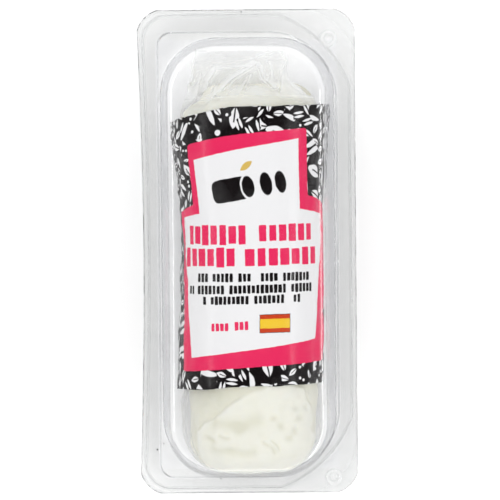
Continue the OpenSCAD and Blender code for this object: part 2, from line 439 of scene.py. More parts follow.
@dataclass(frozen=True)
class ClearSheet(Finish):
    """Clear formed plastic: it bends light, and it dims what lies under it a little."""

    tint: Colour = CLEAR
    steep_tint: Colour = (0.955, 0.957, 0.965, 1)
    dimming: Colour = (0.99, 0.992, 0.992, 1)
    bends: float = 1.45
    ripple: float = 0.00012
    edge_on: float = 0.82

    def shader(self, tree: Tree) -> Wire:
        """Glass-like surface for what is looked at, and plain dimming for the light on what is behind it."""
        place = tree.place()
        smudge = tree.noise(place, 90, 3)
        uneven = smudge + tree.noise(place, 420, 2) * 0.25
        steep = tree.wire("LayerWeight", {"Blend": 0.5}, "Facing")
        tint = tree.blend(steep.span(0.04, 0.6), self.tint, self.steep_tint)
        sheet = tree.coat({
            "Base Color": tint,
            "Roughness": smudge.span(0.35, 0.75, 0.02, 0.09),
            "IOR": self.bends,
            "Transmission Weight": 1.0,
            "Normal": tree.bump(uneven, 0.25, self.ripple),
        })
        seen = tree.mixed(steep.span(0.18, 0.6, 0.0, self.edge_on), sheet, tree.open_surface(tint))
        straight = tree.ray("Is Shadow Ray").at_least(tree.ray("Is Diffuse Ray"))
        return tree.mixed(straight, seen, tree.open_surface(self.dimming))


@dataclass(frozen=True)
class WrapFilm(Finish):
    """Thin clear film: nearly unseen face on, milky along its folds, with sharp glints."""

    haze: float = 0.17
    edge: float = 0.5
    milk: Colour = (0.97, 0.975, 0.985, 1)

    def shader(self, tree: Tree) -> Wire:
        """A see-through surface mixed with a shiny pale one by how steeply it is seen.

        Light for what lies beyond it goes straight by, as a real film scatters onward what it holds back.
        """
        normal = tree.bump(tree.noise(tree.place(), 240, 3), 0.12, 0.0004)
        loose = tree.mark("loose")
        gloss = tree.coat({
            "Base Color": self.milk,
            "Metallic": 0.12,
            "Roughness": 0.42 - loose * 0.24,
            "IOR": 1.5,
            "Normal": normal,
        })
        steep = tree.wire("LayerWeight", {"Blend": self.edge, "Normal": normal}, "Facing")
        share = (tree.math("POWER", steep, 1.3) * 0.85 + self.haze) * (loose * 0.65 + 0.35)
        film = tree.mixed(share.clamped(), tree.open_surface(), gloss)
        return tree.mixed(tree.ray("Is Shadow Ray"), film, tree.open_surface())


@dataclass(frozen=True)
class SealedFilm(Finish):
    """Flat backing film: clear, faintly milky, whitened where it is heat-sealed and in a painted highlight
    ring round each nub, with specks of dirt.

    A speck is its place across and along the pack, and its radius, in millimetres.
    """

    haze: float = 0.16
    haze_range: float = 0.03
    # Weight of the whitening along the seal, which also carries the painted highlight rings round the nubs.
    seal: float = 0.42
    milk: Colour = (0.95, 0.955, 0.955, 1)
    dirt: Colour = (0.05, 0.05, 0.06, 1)
    speck_z: float = 0.2
    specks: tuple[Place, ...] = (
        (-23.8, -51.1, 0.26),
        (-22.1, -49.6, 0.18),
        (-7.4, -58.8, 0.2),
        (-1.1, 61.9, 0.22),
        (-14.4, 43.7, 0.24),
    )

    def speck(self, place: Wire, x: float, y: float, radius: float) -> Wire:
        """How dirty a soft round speck makes a place."""
        away = place.seen_from((x * MM, y * MM, self.speck_z * MM)).length()
        return away.span(radius * 0.6 * MM, radius * 1.3 * MM, 0.6, 0.0)

    def shader(self, tree: Tree) -> Wire:
        """A see-through surface mixed with a satin white one, more so along the seal and in the painted
        highlight rings round the nubs.
        """
        place = tree.place()
        cloud = tree.noise(place, 110, 3)
        dirty = reduce(Wire.__add__, [self.speck(place, *speck) for speck in self.specks])
        satin = tree.coat({
            "Base Color": tree.blend((dirty * 2.0).clamped(), self.milk, self.dirt),
            "Roughness": cloud.span(0.3, 0.7, 0.3, 0.5),
            "IOR": 1.3,
            "Normal": tree.bump(cloud, 0.3, 0.0002),
        })
        haze = cloud.span(0.3, 0.7, self.haze - self.haze_range, self.haze + self.haze_range)
        share = (tree.mark("seal") * self.seal + haze).at_least(dirty)
        return tree.mixed(share, tree.open_surface(), satin)


@dataclass(frozen=True)
class FreshCheese(Finish):
    """Moist fresh goat cheese: off-white and faintly see-through, with painted shade that makes it darker and
    yellower in its hollows, and painted light that makes its pressed top lighter.
    """

    face: Colour = (0.665, 0.656, 0.565, 1)
    # Darker, yellower colour of the hollows: painted shade.
    hollow_shade: Colour = (0.6, 0.592, 0.49, 1)
    # Lighter colour of the pressed top and of the top at the tail end: painted light.
    bright: Colour = (0.705, 0.702, 0.64, 1)

    def shader(self, tree: Tree) -> Wire:
        """Scattering surface whose colour follows a soft mottling, painted shade in its hollows and painted
        light on its pressed top.
        """
        place = tree.place()
        depth = tree.mark("hollow_shade")
        mottle = tree.noise(place, 190, 5, 0.62)
        grain = tree.noise(place, 620, 3, 0.55)
        # The hollow mark darkens and yellows the colour: painted shade in folds, pits and hollows.
        sunk = (depth + mottle.span(0.35, 0.75, -0.25, 0.4)).clamped()
        colour = tree.blend(sunk, self.face, self.hollow_shade)
        # Painted light: the top is made lighter where the film clings and at the tail end, less so in the
        # hollows.
        pressed = (tree.mark("lit_patch") * (0.8 - depth * 0.75)).clamped()
        return tree.coat({
            "Base Color": tree.blend(pressed, colour, self.bright),
            "Roughness": mottle.span(0.3, 0.7, 0.42, 0.6),
            "Subsurface Weight": 0.35,
            "Subsurface Radius": (1.0, 0.85, 0.6),
            "Subsurface Scale": 0.0022,
            "Normal": tree.bump(mottle + grain * 0.22, 0.4, 0.0005),
        })


@dataclass(frozen=True)
class LabelPaper(Finish):
    """Plain pale label stock with a faint mottle of fibres."""

    colour: Colour = (0.985, 0.985, 0.995, 1)
    shade: Colour = (0.945, 0.945, 0.965, 1)

    def shader(self, tree: Tree) -> Wire:
        """Matt paper, slightly uneven in tone."""
        place = tree.place()
        cloud = tree.noise(place, 70, 3)
        fibre = tree.noise(place.scaled((1.0, 0.25, 1.0)), 2600, 2)
        return tree.coat({
            "Base Color": tree.blend(cloud.span(0.35, 0.7), self.colour, self.shade),
            "Roughness": fibre.span(0.3, 0.7, 0.55, 0.75),
            "Normal": tree.bump(fibre, 0.2, 0.00005),
        })


@dataclass(frozen=True)
class Floor(Finish):
    """Plain pale studio floor."""

    tone: Colour = (0.93, 0.93, 0.93, 1)
    reach: float = 6.0

    def shader(self, tree: Tree) -> Wire:
        """Matt and even."""
        return tree.coat({"Base Color": self.tone, "Roughness": 0.9})

    def build(self) -> None:
        """A wide plane at the height of the resting plane."""
        mesh = bpy.data.meshes.new("floor")
        r = self.reach
        mesh.from_pydata([(-r, -r, 0), (r, -r, 0), (r, r, 0), (-r, r, 0)], [], [(0, 1, 2, 3)])
        mesh.materials.append(self.material("pale_floor"))
        floor = bpy.data.objects.new("floor", mesh)
        bpy.context.scene.collection.objects.link(floor)


# ---------------------------------------------------------------- the clear pack


@dataclass(frozen=True)
class Outline:
    """A rectangle with one kind of corner on its left and another on its right, in millimetres.

    A corner is an arc of radius r whose centre lies c from both edges, and c below r gives a kink
    where the arc meets them. The left edge bows inward by bow.
    """

    left: float
    right: float
    low: float
    high: float
    left_r: float
    left_c: float
    right_r: float
    right_c: float
    bow: float = 0.0


@dataclass
class ClearPack:
    """The formed dome with its step and flange, and the flat film and label that close it.

    A pair of sides is the left one and the right one, and a pair of ends is the blunt end's and the
    tail's. The two nubs come in the order of the ends. The pairs punch and peel are the radius of a
    corner and how far its centre lies from both edges.
    """

    shell: bpy.types.Material
    flange_sides: Point = (5.0, 4.5)
    flange_ends: Point = (4.0, 5.6)
    flange_t: float = 0.35
    punch: Point = (7.6, 7.3)
    side_bow: float = 1.2
    bead_edge: float = 1.0
    bead_w: float = 0.7
    bead_h: float = 0.3
    bead_left_r: float = 7.0
    peel: Point = (32.0, 30.0)
    nub_r: float = 2.1
    nub_top_r: float = 1.25
    nub_h: float = 0.8
    nub_from_side: Point = (6.2, 6.8)
    nub_from_end: Point = (3.9, 7.6)
    step_h: float = 2.2
    step_side: float = 0.7
    step_end: float = 1.4
    step_left_r: float = 3.6
    step_right_r: float = 18.0
    corner_r: float = 15.0
    wall_t: float = 0.35
    draft: float = math.radians(3)
    roof_r: float = 3.6
    waist: float = 0.45
    waist_from: float = 3.0
    seal_gap: float = 0.012
    bend_r: float = 0.25
    step_lean: float = 0.3
    dome_weld: float = 1e-6
    side_n: int = 64
    end_n: int = 22
    corner_n: int = 60
    box: Array = field(default_factory=lambda: box_of("dome_shell"))

    @property
    def middle(self) -> Point:
        """Middle of the dome in plan, which the uneven flange puts off the part's middle."""
        return (
            (self.flange_sides[0] - self.flange_sides[1]) / 2,
            (self.flange_ends[0] - self.flange_ends[1]) / 2,
        )

    def flange_outline(self) -> Outline:
        """Outline of the flange's punched edge."""
        low, high = self.box
        return Outline(low[0], high[0], low[1], high[1], *self.punch, *self.punch, self.side_bow)

    def outlines(self) -> tuple[Array, Array]:
        """Outlines from the flange's edge in to the roof's middle line.

        Returns:
            The inset from the flange's edge of each, and their numbers.
        """
        low, high = self.box
        mx, my = self.middle
        foot_x = (high[0] - low[0] - sum(self.flange_sides)) / 2 - self.step_side
        foot_y = (high[1] - low[1] - sum(self.flange_ends)) / 2 - self.step_end
        wall_at = high[0] - foot_x

        def bead(inset: float) -> Outline:
            """Outline of the seal bead, drawn in from its outer edge."""
            e = self.bead_edge + inset
            r = self.bead_left_r - inset
            return Outline(
                low[0] + e, high[0] - e, low[1] + e, high[1] - e,
                r, r, self.peel[0] - inset, self.peel[1] - inset, self.side_bow,
            )

        def step(inset: float) -> Outline:
            """Outline of the low step round the dome's foot, drawn in from its foot."""
            x, y = foot_x + self.step_side - inset, foot_y + self.step_end - inset
            left, right = self.step_left_r - inset, self.step_right_r - inset
            return Outline(mx - x, mx + x, my - y, my + y, left, left, right, right)

        def wall(inset: float, reach: float | None = None) -> Outline:
            """Outline of the dome, drawn in from the wall's foot."""
            x, y = foot_x - inset, foot_y - inset
            r = max(self.corner_r - inset, 1e-3) if reach is None else reach
            return Outline(mx - x, mx + x, my - y, my + y, r, r, r, r)

        edge = self.corner_r * 0.4
        at = [0, self.bead_edge, self.bead_edge + self.bead_w, wall_at - self.step_side,
              wall_at - self.step_side + self.step_lean, wall_at, wall_at + edge, wall_at + foot_x]
        rows = [self.flange_outline(), bead(0), bead(self.bead_w), step(0), step(self.step_lean),
                wall(0), wall(edge), wall(foot_x, 1e-3)]
        return np.array(at), np.array([astuple(row) for row in rows])

    def rings(self, inset: Array) -> Array:
        """Closed rings of points at each inset, rows by columns by 2.

        Between two outlines every number goes evenly from one to the other. A ring runs along the
        four corners and the four straight stretches between them.
        """
        at, numbers = self.outlines()
        left, right, low, high, left_r, left_c, right_r, right_c, bow = (
            np.interp(inset, at, column)[:, None] for column in numbers.T
        )

        def corner(r: Array, c: Array) -> tuple[Array, Array]:
            """Points of a corner arc, measured from the corner, from the side edge to the end edge."""
            swing = np.arccos(np.clip(c / r, -1, 1))
            a = swing + (np.pi / 2 - 2 * swing) * np.linspace(0, 1, self.corner_n)[None]
            return r * np.cos(a) - c, r * np.sin(a) - c

        rx, ry = corner(right_r, right_c)
        lx, ly = corner(left_r, left_c)
        corners = [
            np.stack([right + rx, high + ry], -1),
            np.stack([left - lx, high + ly], -1)[:, ::-1],
            np.stack([left - lx, low - ly], -1),
            np.stack([right + rx, low - ry], -1)[:, ::-1],
        ]
        counts = [self.end_n, self.side_n, self.end_n, self.side_n]
        parts = []
        for k, n in enumerate(counts):
            start, end = corners[k][:, -1:], corners[(k + 1) % 4][:, :1]
            share = (np.arange(1, n + 1) / (n + 1))[None, :, None]
            stretch = start + (end - start) * share
            if k == 1:
                stretch[..., 0] += bow * np.sin(np.pi * share[..., 0])
            parts += [corners[k], stretch]
        return np.concatenate(parts, 1)

    def profile(self) -> Array:
        """Section of the outer face: rows of (inset, height), from the flange's rim up to the roof."""
        at = self.outlines()[0]
        low, high = self.box
        z0, z1 = low[2] + self.seal_gap, low[2] + self.flange_t
        shelf = z1 + self.step_h
        step_at, foot_at = at[3], at[5]
        lean = math.tan(self.draft)
        r, soft = self.roof_r, self.bend_r
        spring = high[2] - r
        wall_in = foot_at + (shelf - low[2]) * lean
        quarter = np.linspace(0, np.pi / 2, 5)
        roof_turn = np.linspace(self.draft, np.pi / 2, 12)
        roof_mid = foot_at + (spring + r * math.sin(self.draft) - low[2]) * lean + r * math.cos(self.draft)
        wall_z = np.linspace(shelf + soft, spring + r * math.sin(self.draft), 22)[:-1]
        beads = np.linspace(0, 1, 9)[1:-1]
        rows = [
            [(0, z0), (0, z1 - 0.09), (0.03, z1 - 0.03), (0.1, z1)],
            [(d, z1) for d in np.linspace(0.1, self.bead_edge, 30)[1:]],
            [(self.bead_edge + self.bead_w * t, z1 + self.bead_h * math.sin(np.pi * t)) for t in beads],
            [(d, z1) for d in np.linspace(self.bead_edge + self.bead_w, step_at - soft, 10)],
            [(step_at - soft + soft * math.sin(a), z1 + soft - soft * math.cos(a)) for a in quarter[1:]],
            [(step_at + 0.1, (z1 + shelf) / 2)],
            [(step_at + 0.2 + soft - soft * math.cos(a), shelf - soft + soft * math.sin(a)) for a in quarter],
            [(wall_in - soft * 0.6, shelf)],
            [(wall_in + soft * 0.4, shelf + soft * 0.5)],
            [(foot_at + (z - low[2]) * lean, z) for z in wall_z],
            [(roof_mid - r * math.cos(a), spring + r * math.sin(a)) for a in roof_turn],
            [(d, high[2]) for d in np.linspace(roof_mid, at[-1], 16)[1:]],
        ]
        return np.array([row for part in rows for row in part])

    def from_nubs(self, plan: Array) -> list[Array]:
        """Distance of places in plan from the middle of each nub."""
        low, high = self.box
        ends = (low[1] + self.nub_from_end[0], high[1] - self.nub_from_end[1])
        middles = [(high[0] - side, end) for side, end in zip(self.nub_from_side, ends)]
        return [np.linalg.norm(plan - middle, axis=-1) for middle in middles]

    def nubs(self, plan: Array) -> Array:
        """Height of the two peel nubs over the flange: a cone with a flat, slightly dished top."""
        rise = np.zeros(plan.shape[:-1])
        for away in self.from_nubs(plan):
            cone = ease(-away, -self.nub_r, -self.nub_top_r)
            rise += self.nub_h * (cone - 0.5 * bell(away, self.nub_top_r * 0.7))
        return rise

    def ripples(self, points: Array, inset: Array) -> Array:
        """How far the formed sheet wanders from its true shape, along its normal.

        Broad waves grow from nothing at the flange's edge to a few hundredths of a millimetre on
        the wall, and the roof only sinks.
        """
        high = self.box[1]
        wander = 0.06 * waves(points, 17, 11) + 0.025 * waves(points, 7, 12)
        grow = ease(inset, 2.2, 9.0)[:, None] * 0.8 + ease(inset, 0.3, 1.2)[:, None] * 0.2
        roof = ease(points[..., 2], high[2] - 1.5, high[2])
        return grow * (wander * (1 - roof) - roof * 0.05 * (1.2 + waves(points, 24, 13)))

    def dome_faces(self) -> tuple[Array, Array]:
        """Grids of the sheet's outer and inner faces."""
        low, high = self.box
        profile = self.profile()
        plan = self.rings(profile[:, 0])
        outer = places(plan[..., 0], plan[..., 1], profile[:, 1:])
        mx, my = self.middle
        half = (high[1] - low[1]) / 2
        pull = self.waist * np.cos(np.clip((outer[..., 1] - my) / half, -1, 1) * np.pi / 2)
        upper = ease(outer[..., 2], self.waist_from, high[2])
        off = outer[..., 0] - mx
        outer[..., 0] -= np.sign(off) * pull * upper * ease(np.abs(off), 2, 14)
        on_flange = (profile[:, 0] > 0.09) & (profile[:, 0] < self.bead_edge + 0.01)
        outer[on_flange, :, 2] += self.nubs(outer[on_flange][..., :2])
        normal = grid_normals(outer)
        normal *= np.sign(normal[..., 2].mean() or 1)
        normal[profile[:, 1] > high[2] - 1e-6] = (0, 0, 1)
        outer = outer + normal * self.ripples(outer, profile[:, 0])[..., None]
        outer[..., 2] = np.minimum(outer[..., 2], high[2] - 0.01)
        inner = (outer - normal * (self.wall_t - 0.02))[3:]
        flat = profile[3:, 0] < self.outlines()[0][3] - 0.3
        rise = np.maximum(0, outer[3:][flat][..., 2] - low[2] - self.flange_t)
        inner[flat, :, 2] = low[2] + self.seal_gap + 0.45 * rise
        return outer, inner

    def build(self) -> None:
        """Makes the dome and the backing film, and dresses the label."""
        outer, inner = self.dome_faces()
        dome = make_piece(
            "clear_dome",
            np.concatenate([inner[::-1], outer]),
            Wrap.COLUMNS,
            self.shell,
            weld=self.dome_weld,
        )
        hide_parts("dome_shell")
        self.build_film()
        label = frame["nodes"]["back_label"]
        label.data.materials.clear()
        label.data.materials.append(LabelPaper().material("label_paper"))
        LOG.info("back_label: the packed mesh, %d faces", len(label.data.polygons))

    def sealed(self, plan: Array, inset: Array) -> Array:
        """How whitened the film is, 0 to 1: a heat-seal line under the bead, and a painted highlight ring
        round each nub.
        """
        weld = bell(inset - self.bead_edge - self.bead_w * 0.5, self.bead_w * 0.42)[:, None]
        weld = weld + 0.35 * bell(inset - 0.2, 0.25)[:, None] + np.zeros(plan.shape[:-1])
        # Painted highlight: a bright ring round each nub, less whitened at its middle.
        for away in self.from_nubs(plan):
            weld += 0.95 * bell(away - self.nub_r * 0.75, 0.45) - 0.35 * bell(away, 0.8)
        return np.clip(weld, -0.3, 1)

    def build_film(self) -> None:
        """The flat film under the flange: one slab inside the flange's own outline."""
        low, high = box_of("backing_film")
        at = self.outlines()[0]
        fine = np.linspace(0.1, self.bead_edge, 34)
        border = np.linspace(self.bead_edge, at[3], 16)[1:]
        inset = np.concatenate([[0, 0.02], fine, border, np.linspace(at[3], at[-1], 12)[1:]])
        plan = self.rings(inset)
        # The seal mark also holds the painted highlight rings round the nubs.
        weld = self.sealed(plan, inset)
        heights = (low[2] + self.seal_gap, high[2] - self.seal_gap)
        under, over = (places(plan[..., 0], plan[..., 1], z) for z in heights)
        film = make_piece(
            "sealed_film",
            np.concatenate([under[::-1], over]),
            Wrap.COLUMNS,
            SealedFilm().material("sealed_film"),
            marks={"seal": np.concatenate([weld[::-1], weld])},
        )
        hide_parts("backing_film")


# ---------------------------------------------------------------- the food and its wrapping


@dataclass
class Cheese:
    """The soft log: blunt rounded ends, lumps, and the marks that its film pressed into it.

    The marks are at the blunt end, on top. A fold is its two ends in plan, its width and its depth.
    """

    folds: tuple[tuple[Point, Point, float, float], ...] = (
        ((-8.2, -41.6), (-2.0, -42.4), 1.5, 0.42),
        ((-2.0, -42.4), (2.6, -40.6), 1.9, 0.30),
        ((-8.0, -48.6), (0.8, -49.2), 1.3, 0.35),
        ((-10.8, -45.2), (-8.6, -46.4), 0.6, 0.28),
        ((-6.8, -44.9), (-4.8, -45.6), 0.5, 0.25),
        ((4.2, -46.2), (6.9, -49.3), 0.45, 0.45),
        ((5.6, -46.0), (8.0, -48.6), 0.4, 0.30),
    )
    fold_gain: float = 1.3
    pits: Corners = (
        (11.9, -38.4), (6.6, -40.5), (13.0, -40.6), (11.7, -43.6),
        (10.2, -45.6), (14.6, -37.8), (8.8, -42.6),
    )
    pit_w: float = 0.95
    pit_depth: float = 0.55
    corner_at: Point = (-9.4, -34.3)
    corner_w: Point = (5.6, 2.6)
    corner_depth: float = 0.5
    patch_rise: float = 0.42
    stray: float = 0.3
    top_rise: float = 8.0
    log_h: float = 34.6
    log_w: float = 35.4
    taper: float = 1.8
    square: float = 2.45
    end_r: float = 9.0
    lump: float = 0.35
    sway: float = 0.9
    side: float = 0.8
    around: int = 236
    along: int = 300
    cap: int = 14
    box: Array = field(default_factory=lambda: box_of("cheese_log"))

    @property
    def length(self) -> float:
        """Length of the log."""
        return float(self.box[1][1] - self.box[0][1])

    @property
    def mid(self) -> float:
        """Height of the log's middle."""
        return float((self.box[0][2] + self.box[1][2]) / 2)

    def half(self, s: Array) -> Array:
        """Half width at share s of the length, without the rounded ends: slimmer at the blunt end."""
        return self.log_w / 2 - self.taper * (1 - ease(s, 0.08, 0.45))

    def centre(self, s: Array) -> Array:
        """Where the log's middle lies across the pack at share s: a slight bend."""
        return self.side + self.sway * np.sin(np.pi * s)

    def end_round(self, s: Array) -> Array:
        """What the section shrinks to by the round of each end: a circle of radius end_r."""
        away = self.length * np.minimum(s, 1 - s)
        sunk = np.maximum(0, self.end_r - away)
        return 1 - (self.end_r - np.sqrt(self.end_r**2 - sunk**2)) / (self.log_w / 2)

    def section(self, s: Array, turn: Array) -> Array:
        """Points of the smooth log at share s and angle turn."""
        e = self.end_round(s)
        return places(
            self.centre(s) + self.half(s) * e * squared(np.cos(turn), self.square),
            self.box[0][1] + self.length * s,
            self.mid + self.log_h / 2 * e * squared(np.sin(turn), self.square),
        )

    def top(self, points: Array) -> Array:
        """1 on the log's upper face, and 0 from its middle down."""
        return ease(points[..., 2], self.mid, self.mid + self.top_rise)

    def pressed(self, plan: Array) -> Array:
        """Where the film clings to the blunt end, 0 to 1: the inside of a lopsided round area."""
        lean = (plan[..., 1] + 44.0) / 11.0
        upper = np.clip(lean, 0, 1)
        across = (plan[..., 0] - 1.9 - 6.3 * upper) / (14.9 - 6.5 * upper)
        reach = np.abs(across) ** 2.6 + np.abs(lean / 1.12) ** 3
        return ease(0.06 * waves(plan, 5.0, 24) - reach, -1.04, -0.92)

    def relief(self, points: Array) -> tuple[Array, Array]:
        """Lumps, folds, pits and the two ends.

        Returns:
            How far the surface stands out from the smooth log, in millimetres, and how much painted shade
            darkens and yellows it, from 0 to 1: in its folds, pits and hollows, and in random patches.
        """
        wander = np.stack([waves(points, 4.5, 26), waves(points, 4.5, 27)], -1)
        plan = points[..., :2] + self.stray * wander
        across, along = plan[..., 0], plan[..., 1]
        top = self.top(points)
        out = 0.18 * waves(points, 16, 21) + 0.13 * waves(points, 6, 22) + 0.05 * waves(points, 2.4, 23)
        sunk = 0.22 * ease(-waves(points, 4.5, 25), 0.1, 0.9)
        for start, end, width, depth in self.folds:
            near = bell(to_segment(plan, start, end), width) * top
            out -= self.fold_gain * depth * near
            sunk += 0.8 * near
        for x, y in self.pits:
            near = bell(np.hypot(across - x, along - y), self.pit_w) * top
            out -= self.pit_depth * near
            sunk += 0.75 * near
        (x, y), (broad, long) = self.corner_at, self.corner_w
        corner = bell(np.hypot((across - x) / broad, (along - y) / long), 1.0) * top
        out -= self.corner_depth * corner
        sunk += 0.35 * corner
        # Under the gathered film the log falls away, most on its left, and painted shade darkens its right
        # side there.
        sunk += 0.4 * ease(along, 35.5, 40.5) * ease(across, 5.0, 11.0) * top
        out -= 3.2 * ease(along, 33.0, 42.0) * ease(-across, 6.0, 15.0)
        out -= 1.6 * ease(along, 36.0, 43.0) * top
        # The blunt end is level where the film clings to it, and hollow round that patch, with painted shade
        # round it.
        shelf = self.pressed(plan) * top
        out = out * (1 - 0.3 * shelf) + self.patch_rise * shelf - 0.3 * top * ease(-along, 30.0, 34.0)
        sunk += 0.4 * (1 - shelf) * top * ease(-along, 30.0, 33.0)
        return np.clip(out, -5.0, self.lump + 0.05), np.clip(sunk, 0, 1)

    def surface(self) -> tuple[Array, Array, Array]:
        """Grid of the log from pole to pole, with how much painted shade darkens each point in its hollows
        and how much painted light lightens it on its pressed top and at the tail end.
        """
        u = np.linspace(0, 1, self.along)
        s = np.clip((1 - np.cos(np.pi * u)) * 0.25 + u * 0.5, 0, 1)[:, None]
        turn = circle(self.around)
        smooth = self.section(s, turn)
        out, sunk = self.relief(smooth)
        body = smooth + grid_normals(smooth) * out[..., None] * self.outward(smooth)
        # Painted light: the top at the tail end is made lighter, least on its right.
        lit_rear = ease(smooth[..., 1], 31.0, 36.0) * (1 - 0.7 * ease(smooth[..., 0], 5.0, 11.0))
        lit_patch = np.maximum(self.pressed(smooth[..., :2]), lit_rear) * self.top(smooth)
        return closed(body, self.cap), padded(sunk, self.cap), padded(lit_patch, self.cap)

    @staticmethod
    def outward(points: Array) -> float:
        """1 if grid_normals points away from the grid's axis, and -1 if towards it."""
        away = points - points.mean(1, keepdims=True)
        return float(np.sign((grid_normals(points) * away).sum(-1).mean()))

    def build(self) -> None:
        """Makes the log, which replaces the plain solid."""
        points, hollow_shade, lit_patch = self.surface()
        log = make_piece(
            "cheese", points, Wrap.COLUMNS, FreshCheese().material("fresh_cheese"),
            marks={"hollow_shade": hollow_shade, "lit_patch": lit_patch},
        )
        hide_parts("cheese_log")


@dataclass
class FilmWrap:
    """The clear film round the log, and its gathered end that stands up behind the cheese.

    A run is the crest of one long fold: its height, its width and the places in plan that it joins.
    """

    cheese: Cheese
    cling: float = 0.1
    tail_w: float = 23.4
    tail_lean: float = 1.8
    tail_z: float = 26.0
    tail_t: float = 4.4
    around: int = 316
    body_n: int = 130
    tail_n: int = 120
    cap: int = 10
    roof: float = 36.3
    crest: float = 3.2
    sharp: float = 0.75
    runs: tuple[tuple[float | Point, ...], ...] = (
        (1.3, 0.8, (8.3, 51.9), (6.2, 51.0), (3.5, 50.0)),
        (2.4, 1.0, (2.6, 47.9), (0.9, 46.9), (-3.0, 44.4), (-6.0, 41.5), (-9.3, 37.5)),
        (2.0, 0.7, (2.6, 47.9), (3.7, 47.2), (4.7, 44.4), (7.2, 42.4)),
        (1.1, 0.6, (5.9, 48.4), (6.3, 46.5), (5.8, 43.8)),
        (2.0, 0.9, (9.1, 51.6), (10.3, 48.8), (9.4, 45.1), (8.7, 40.9)),
        (1.6, 0.9, (-12.6, 51.0), (-13.0, 47.6), (-13.3, 44.4), (-15.8, 39.0)),
        (1.8, 0.9, (-7.2, 46.7), (-9.0, 44.2), (-9.3, 42.1), (-11.2, 40.7), (-14.1, 37.9)),
        (0.8, 0.9, (-7.2, 46.7), (-1.8, 47.4), (1.6, 47.6)),
        (1.0, 0.8, (1.2, 45.5), (0.3, 43.4), (-1.2, 39.6)),
    )
    box: Array = field(default_factory=lambda: box_of("film_tail"))

    def folds(self, plan: Array) -> Array:
        """Height of the long folds over places in plan.

        A fold is a cusp, height x e^(-distance / (sharp x width)), so its crest is a sharp line.
        """
        rise = np.zeros(plan.shape[:-1])
        for height, width, *stops in self.runs:
            away = np.min([to_segment(plan, a, b) for a, b in zip(stops, stops[1:])], axis=0)
            rise += height * np.exp(-away / (self.sharp * width))
        return np.minimum(rise, self.crest)

    def skin(self) -> Array:
        """Rings of film on the log: they follow its lumps and stand off its sides at the blunt end."""
        c = self.cheese
        s = np.linspace(0.004, 0.965, self.body_n)[:, None]
        turn = circle(self.around)
        loose = 2.0 * ease(s, 0.01, 0.12) * (1 - ease(s, 0.17, 0.25)) * np.abs(np.cos(turn)) ** 1.5
        smooth = c.section(s, turn)
        out = c.relief(smooth)[0]
        slack = 0.05 * crumple(smooth, 9, 31) + loose * (1 + 0.12 * waves(smooth, 8, 32))
        tail = ease(smooth[..., 1], 37.0, 40.5) * ease(smooth[..., 2], c.mid, c.mid + 6)
        slack = slack + 0.35 * tail * self.folds(smooth[..., :2])
        room = np.maximum(out, -0.25) + self.cling + slack
        return smooth + grid_normals(smooth) * room[..., None] * Cheese.outward(smooth)

    def tail(self, first: Array) -> Array:
        """Rings of the gathered end.

        The rings go from the last one on the cheese to a flat, narrow one at the free edge: their
        right side closes in at once and their left side slowly. The upper sheet carries long folds
        with sharp crests, and small creases.
        """
        c = self.cheese
        high = self.box[1]
        u = (np.arange(1, self.tail_n + 1) / self.tail_n)[:, None]
        turn = circle(self.around)
        y0, end = first[:, 1].mean(), high[1] - 0.25
        middle = c.side - self.tail_lean
        across = np.cos(turn)
        x_end = middle + self.tail_w / 2 * across
        z_end = self.tail_z + self.tail_t / 2 * squared(np.sin(turn), 5)
        right = ease(across, -0.25, 0.25)
        close = right * ease(u, -0.1, 0.42) + (1 - right) * ease(u, -0.1, 0.9)
        sink = 1 - (1 - u) ** 1.7
        x = first[None, :, 0] + (x_end - first[None, :, 0]) * close
        z = first[None, :, 2] + (z_end - first[None, :, 2]) * sink
        y = y0 + (end - y0) * u + 0.5 * ease(u, 0.8, 1) * waves(np.stack([x, z], -1), 9, 36)
        rings = places(x, y, z)
        side = np.sign(np.sin(turn)) * np.abs(np.sin(turn)) ** 0.35
        grow = ease(u, 0.0, 0.25)
        facets = 0.3 * crumple(rings * [1.0, 0.5, 0.0], 10.0, 33)
        folds = 1.3 * self.folds(rings[..., :2]) * np.maximum(side, 0)
        rings[..., 2] += grow * (folds + facets * side - side)
        rings[..., 0] += grow * 0.3 * waves(rings, 5, 35) * np.cos(turn)
        rings[..., 2] = np.minimum(rings[..., 2], self.roof)
        rings[..., 1] = np.minimum(rings[..., 1], high[1])
        return rings

    def build(self) -> None:
        """Makes the film as one closed surface from the blunt end to the free edge of its tail."""
        skin = self.skin()
        tail = self.tail(skin[-1])
        rings = np.concatenate([skin, tail])
        free = np.concatenate([ease(skin[..., 1], 37.0, 41.0), np.ones(tail.shape[:-1])])
        wrap = make_piece(
            "wrap_film", closed(rings, self.cap), Wrap.COLUMNS, WrapFilm().material("wrap_film"),
            marks={"loose": padded(free, self.cap)},
        )
        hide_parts("film_tail")


